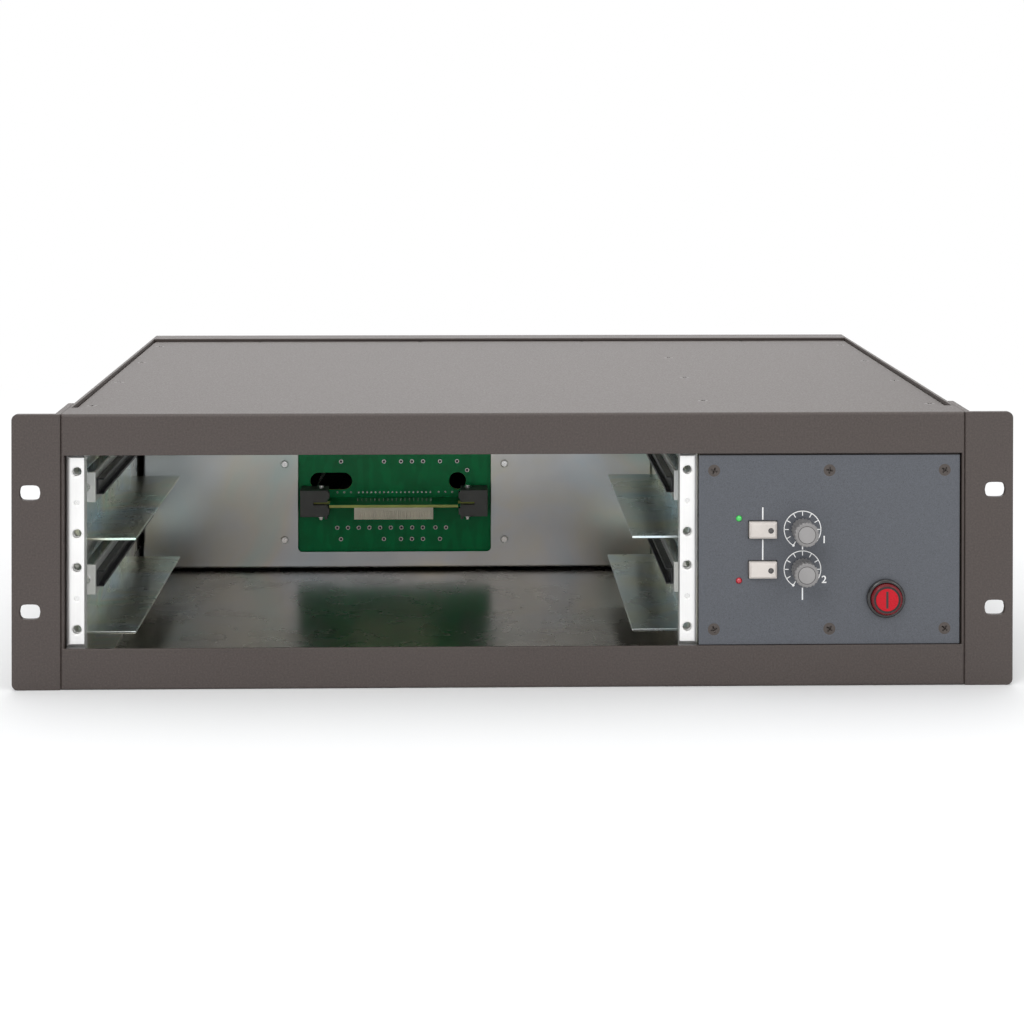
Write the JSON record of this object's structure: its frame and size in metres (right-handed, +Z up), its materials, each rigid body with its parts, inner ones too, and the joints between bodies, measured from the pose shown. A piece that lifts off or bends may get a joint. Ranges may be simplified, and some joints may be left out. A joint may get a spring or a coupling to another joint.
{
  "type": "subrack card cage",
  "caption": "Rack-mounted card cage with two horizontal module bays, slide-in guides and a backplane beside a power section with knobs, push buttons and a mains switch.",
  "frame": {"origin": "centre of the rack slot pattern, in the plane of the ears' front faces", "axes": "+X to the right as seen from the front, +Y to the rear, +Z up; the ears' front faces lie at Y = 0 and half the height is at Z = 0"},
  "size_m": [0.4826, 0.3477, 0.1324],
  "materials": {
    "case_paint": "fine-texture powder coat, dark warm grey",
    "black_screws": "blackened steel",
    "zinc_steel": "zinc plate with a faint yellow and blue passivation",
    "rail_aluminium": "satin, as extruded",
    "bright_steel": "bright zinc",
    "guide_plastic": "moulded",
    "board_green": "solder mask over glass laminate",
    "socket_plastic": "moulded",
    "holder_plastic": "moulded",
    "panel_paint": "smooth satin paint",
    "green_lens": "tinted, clear",
    "red_lens": "tinted, clear",
    "button_plastic": "moulded",
    "knob_plastic": "moulded, fluted",
    "black_plastic": "moulded",
    "mains_lens": "tinted lens",
    "winding_tape": "polyester tape over the winding",
    "capacitor_sleeve": "shrink sleeve"
  },
  "bodies": {
    "case": {"front_bezel": "case_paint", "left_side_panel": "case_paint", "right_side_panel": "case_paint", "top_cover": "case_paint", "bottom_cover": "case_paint", "rear_panel": "case_paint", "left_rack_ear": "case_paint", "right_rack_ear": "case_paint", "ear_screws": "black_screws", "cover_angles": "zinc_steel", "cover_screws": "black_screws", "bay_side_plate": "zinc_steel", "bay_divider": "zinc_steel", "left_module_rail": "rail_aluminium", "right_module_rail": "rail_aluminium", "bay_screws": "bright_steel", "left_upper_shelf": "zinc_steel", "left_lower_shelf": "zinc_steel", "right_upper_shelf": "zinc_steel", "right_lower_shelf": "zinc_steel", "left_upper_bracket": "zinc_steel", "left_lower_bracket": "zinc_steel", "right_upper_bracket": "zinc_steel", "right_lower_bracket": "zinc_steel", "left_upper_guide": "guide_plastic", "left_lower_guide": "guide_plastic", "right_upper_guide": "guide_plastic", "right_lower_guide": "guide_plastic", "bay_rear_plate": "zinc_steel", "backplane_board": "board_green", "backplane_studs": "bright_steel", "upper_connector_board": "board_green", "lower_connector_board": "board_green", "upper_socket": "socket_plastic", "lower_socket": "socket_plastic", "board_holders": "holder_plastic", "holder_screws": "bright_steel", "psu_frame": "zinc_steel", "control_panel": "panel_paint", "control_panel_screws": "black_screws", "green_led": "green_lens", "red_led": "red_lens", "button_switches": "black_plastic", "level_controls": "bright_steel", "mains_collar": "black_plastic", "control_board": "board_green", "transformer": "winding_tape", "transformer_bolt": "bright_steel", "psu_board": "board_green", "psu_pillars": "bright_steel", "psu_capacitors": "capacitor_sleeve", "mains_inlet": "black_plastic", "audio_sockets": "black_plastic"},
    "upper_knob_turn": {"upper_knob": "knob_plastic", "upper_knob_shaft": "bright_steel"},
    "lower_knob_turn": {"lower_knob": "knob_plastic", "lower_knob_shaft": "bright_steel"},
    "upper_button_cap": {"upper_button": "button_plastic"},
    "lower_button_cap": {"lower_button": "button_plastic"},
    "mains_push": {"mains_button": "mains_lens"}
  },
  "joints": [
    {"name": "upper_knob_hinge", "type": "hinge", "parent": "case", "child": "upper_knob_turn", "pos_m": [0.1391, 0, 0.0094], "axis": [0, 1, 0], "range_deg": [-150, 150]},
    {"name": "lower_knob_hinge", "type": "hinge", "parent": "case", "child": "lower_knob_turn", "pos_m": [0.1391, 0, -0.0099], "axis": [0, 1, 0], "range_deg": [-150, 150]},
    {"name": "upper_button_slide", "type": "slide", "parent": "case", "child": "upper_button_cap", "axis": [0, 1, 0], "range_m": [0, 0.0025], "stiffness_N_per_m": 300, "springref_m": -0.002},
    {"name": "lower_button_slide", "type": "slide", "parent": "case", "child": "lower_button_cap", "axis": [0, 1, 0], "range_m": [0, 0.0025], "stiffness_N_per_m": 300, "springref_m": -0.002},
    {"name": "mains_button_slide", "type": "slide", "parent": "case", "child": "mains_push", "axis": [0, 1, 0], "range_m": [0, 0.003], "stiffness_N_per_m": 500, "springref_m": -0.002}
  ]
}
